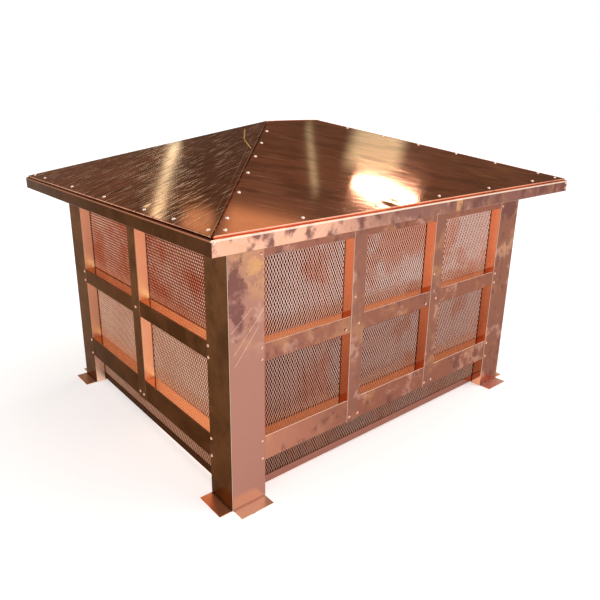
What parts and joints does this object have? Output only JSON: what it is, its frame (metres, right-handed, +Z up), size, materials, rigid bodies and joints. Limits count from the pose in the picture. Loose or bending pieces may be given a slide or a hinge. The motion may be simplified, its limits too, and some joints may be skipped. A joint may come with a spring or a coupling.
{
  "type": "chimney shroud",
  "caption": "Hip-roofed sheet-copper cap that stands over a chimney's flues, with expanded-mesh sides between folded corner posts, rails and mullions.",
  "frame": {"origin": "on the ground under the middle of the roof", "axes": "+X along the roof's ridge and the long sides, +Y from the front to the back, +Z up"},
  "size_m": [1.072, 0.914, 0.7128],
  "materials": {
    "roof_copper": "sheet copper, brown tarnish over a mirror polish, fine scratches",
    "edge_copper": "folded sheet copper, orange-brown, bright at the folds",
    "face_copper": "sheet copper, pink-brown with purple tarnish blotches and scratches",
    "rail_copper": "folded sheet copper, pink-brown, lightly tarnished",
    "mesh_copper": "expanded copper mesh, dull brown"
  },
  "bodies": {
    "root": {"roof_front": "roof_copper", "roof_back": "roof_copper", "roof_left": "roof_copper", "roof_right": "roof_copper", "eave_front": "edge_copper", "eave_front_end": "edge_copper", "eave_back": "edge_copper", "eave_back_end": "edge_copper", "eave_left": "edge_copper", "eave_right": "edge_copper", "post_front_left": "face_copper", "post_front_right": "face_copper", "post_back_left": "face_copper", "post_back_right": "face_copper", "top_rail_front": "rail_copper", "top_rail_back": "rail_copper", "top_rail_left": "rail_copper", "top_rail_right": "rail_copper", "mid_rail_front": "rail_copper", "mid_rail_back": "rail_copper", "mid_rail_left": "rail_copper", "mid_rail_right": "rail_copper", "bottom_rail_front": "rail_copper", "bottom_rail_back": "rail_copper", "bottom_rail_left": "rail_copper", "bottom_rail_right": "rail_copper", "mullion_front_left": "face_copper", "mullion_front_right": "face_copper", "mullion_back_left": "face_copper", "mullion_back_right": "face_copper", "mullion_left": "face_copper", "mullion_right": "face_copper", "mesh_front": "mesh_copper", "mesh_back": "mesh_copper", "mesh_left": "mesh_copper", "mesh_right": "mesh_copper", "base_strip_front": "edge_copper", "base_strip_back": "edge_copper", "base_strip_left": "edge_copper", "base_strip_right": "edge_copper"}
  },
  "joints": []
}
